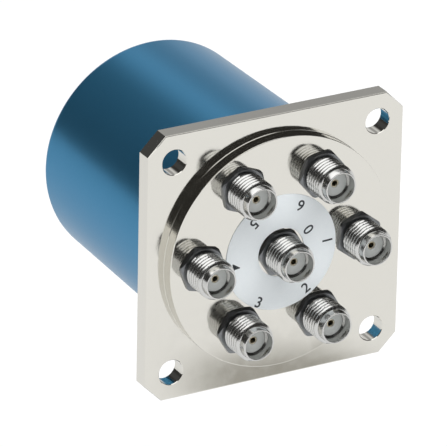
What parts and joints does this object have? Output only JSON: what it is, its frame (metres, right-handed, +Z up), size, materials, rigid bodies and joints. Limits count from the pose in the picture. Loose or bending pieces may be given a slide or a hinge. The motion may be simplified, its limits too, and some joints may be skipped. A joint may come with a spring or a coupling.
{
  "type": "coaxial switch",
  "caption": "Remote coaxial switch: a square flanged body with threaded coaxial jacks on a round boss, and coils in a round can behind that press contact reeds closed.",
  "frame": {"origin": "centre of the flange's front face, on the switch's axis", "axes": "-Y forward out of the jacks, +Z up, +X to the right seen from the front"},
  "size_m": [0.0444, 0.0549, 0.0444],
  "materials": {
    "nickel_plate": "polished nickel plate",
    "passivated_steel": "turned and passivated",
    "ptfe": "matte",
    "gold_plate": "gold plated",
    "label_foil": "matte white film",
    "blue_enamel": "satin blue",
    "bare_aluminium": "machined",
    "steel_screw": "zinc plated",
    "acetal": "natural",
    "spring_wire": "drawn wire",
    "soft_iron": "nickel flash",
    "bobbin_nylon": "moulded black",
    "copper_winding": "enamelled wire",
    "board_laminate": "green solder mask",
    "header_phenolic": "moulded dark brown",
    "tinned_brass": "tinned",
    "seal_rubber": "black"
  },
  "bodies": {
    "switch_body": {"base_plate": "soft_iron", "bobbins": "bobbin_nylon", "can": "blue_enamel", "can_screws": "steel_screw", "can_seal": "seal_rubber", "centre_contact_1": "gold_plate", "centre_contact_2": "gold_plate", "centre_contact_3": "gold_plate", "centre_contact_4": "gold_plate", "centre_contact_5": "gold_plate", "centre_contact_6": "gold_plate", "centre_contact_common": "gold_plate", "circuit_board": "board_laminate", "coil_pins": "tinned_brass", "cover_screws": "steel_screw", "frame_screws": "steel_screw", "front_standoffs": "steel_screw", "insulators": "ptfe", "jack_shell_1": "passivated_steel", "jack_shell_2": "passivated_steel", "jack_shell_3": "passivated_steel", "jack_shell_4": "passivated_steel", "jack_shell_5": "passivated_steel", "jack_shell_6": "passivated_steel", "jack_shell_common": "passivated_steel", "label_disc": "label_foil", "pivot_frame": "bare_aluminium", "pivot_pins": "steel_screw", "pole_cores": "soft_iron", "rear_posts": "steel_screw", "return_tube": "soft_iron", "rf_body": "nickel_plate", "rf_cover": "bare_aluminium", "terminal_header": "header_phenolic", "terminals": "tinned_brass", "windings": "copper_winding"},
    "rocker_body_1": {"rocker_1": "soft_iron"},
    "rod_body_1": {"push_rod_1": "acetal", "reed_1": "gold_plate", "return_spring_1": "spring_wire"},
    "rocker_body_2": {"rocker_2": "soft_iron"},
    "rod_body_2": {"push_rod_2": "acetal", "reed_2": "gold_plate", "return_spring_2": "spring_wire"},
    "rocker_body_3": {"rocker_3": "soft_iron"},
    "rod_body_3": {"push_rod_3": "acetal", "reed_3": "gold_plate", "return_spring_3": "spring_wire"},
    "rocker_body_4": {"rocker_4": "soft_iron"},
    "rod_body_4": {"push_rod_4": "acetal", "reed_4": "gold_plate", "return_spring_4": "spring_wire"},
    "rocker_body_5": {"rocker_5": "soft_iron"},
    "rod_body_5": {"push_rod_5": "acetal", "reed_5": "gold_plate", "return_spring_5": "spring_wire"},
    "rocker_body_6": {"rocker_6": "soft_iron"},
    "rod_body_6": {"push_rod_6": "acetal", "reed_6": "gold_plate", "return_spring_6": "spring_wire"}
  },
  "joints": [
    {"name": "rocker_1_tilt", "type": "hinge", "parent": "switch_body", "child": "rocker_body_1", "pos_m": [0.0094, 0.01275, 0], "axis": [0, 0, 1], "range_deg": [0, 11.46]},
    {"name": "rod_1_push", "type": "slide", "parent": "switch_body", "child": "rod_body_1", "axis": [0, -1, 0], "range_m": [0, 0.0006], "stiffness_N_per_m": 20, "springref_m": -0.0001, "deforming": ["return_spring_1"]},
    {"name": "rocker_2_tilt", "type": "hinge", "parent": "switch_body", "child": "rocker_body_2", "pos_m": [0.0047, 0.01275, -0.00814], "axis": [0.866, 0, 0.5], "range_deg": [0, 11.46]},
    {"name": "rod_2_push", "type": "slide", "parent": "switch_body", "child": "rod_body_2", "axis": [0, -1, 0], "range_m": [0, 0.0006], "stiffness_N_per_m": 20, "springref_m": -0.0001, "deforming": ["return_spring_2"]},
    {"name": "rocker_3_tilt", "type": "hinge", "parent": "switch_body", "child": "rocker_body_3", "pos_m": [-0.0047, 0.01275, -0.00814], "axis": [0.866, 0, -0.5], "range_deg": [0, 11.46]},
    {"name": "rod_3_push", "type": "slide", "parent": "switch_body", "child": "rod_body_3", "axis": [0, -1, 0], "range_m": [0, 0.0006], "stiffness_N_per_m": 20, "springref_m": -0.0001, "deforming": ["return_spring_3"]},
    {"name": "rocker_4_tilt", "type": "hinge", "parent": "switch_body", "child": "rocker_body_4", "pos_m": [-0.0094, 0.01275, 0], "axis": [0, 0, -1], "range_deg": [0, 11.46]},
    {"name": "rod_4_push", "type": "slide", "parent": "switch_body", "child": "rod_body_4", "axis": [0, -1, 0], "range_m": [0, 0.0006], "stiffness_N_per_m": 20, "springref_m": -0.0001, "deforming": ["return_spring_4"]},
    {"name": "rocker_5_tilt", "type": "hinge", "parent": "switch_body", "child": "rocker_body_5", "pos_m": [-0.0047, 0.01275, 0.00814], "axis": [-0.866, 0, -0.5], "range_deg": [0, 11.46]},
    {"name": "rod_5_push", "type": "slide", "parent": "switch_body", "child": "rod_body_5", "axis": [0, -1, 0], "range_m": [0, 0.0006], "stiffness_N_per_m": 20, "springref_m": -0.0001, "deforming": ["return_spring_5"]},
    {"name": "rocker_6_tilt", "type": "hinge", "parent": "switch_body", "child": "rocker_body_6", "pos_m": [0.0047, 0.01275, 0.00814], "axis": [-0.866, 0, 0.5], "range_deg": [0, 11.46]},
    {"name": "rod_6_push", "type": "slide", "parent": "switch_body", "child": "rod_body_6", "axis": [0, -1, 0], "range_m": [0, 0.0006], "stiffness_N_per_m": 20, "springref_m": -0.0001, "deforming": ["return_spring_6"]}
  ],
  "couplings": [
    {"joint": "rocker_1_tilt", "follows": "rod_1_push", "rad_per_m": 333.33},
    {"joint": "rocker_2_tilt", "follows": "rod_2_push", "rad_per_m": 333.33},
    {"joint": "rocker_3_tilt", "follows": "rod_3_push", "rad_per_m": 333.33},
    {"joint": "rocker_4_tilt", "follows": "rod_4_push", "rad_per_m": 333.33},
    {"joint": "rocker_5_tilt", "follows": "rod_5_push", "rad_per_m": 333.33},
    {"joint": "rocker_6_tilt", "follows": "rod_6_push", "rad_per_m": 333.33}
  ]
}
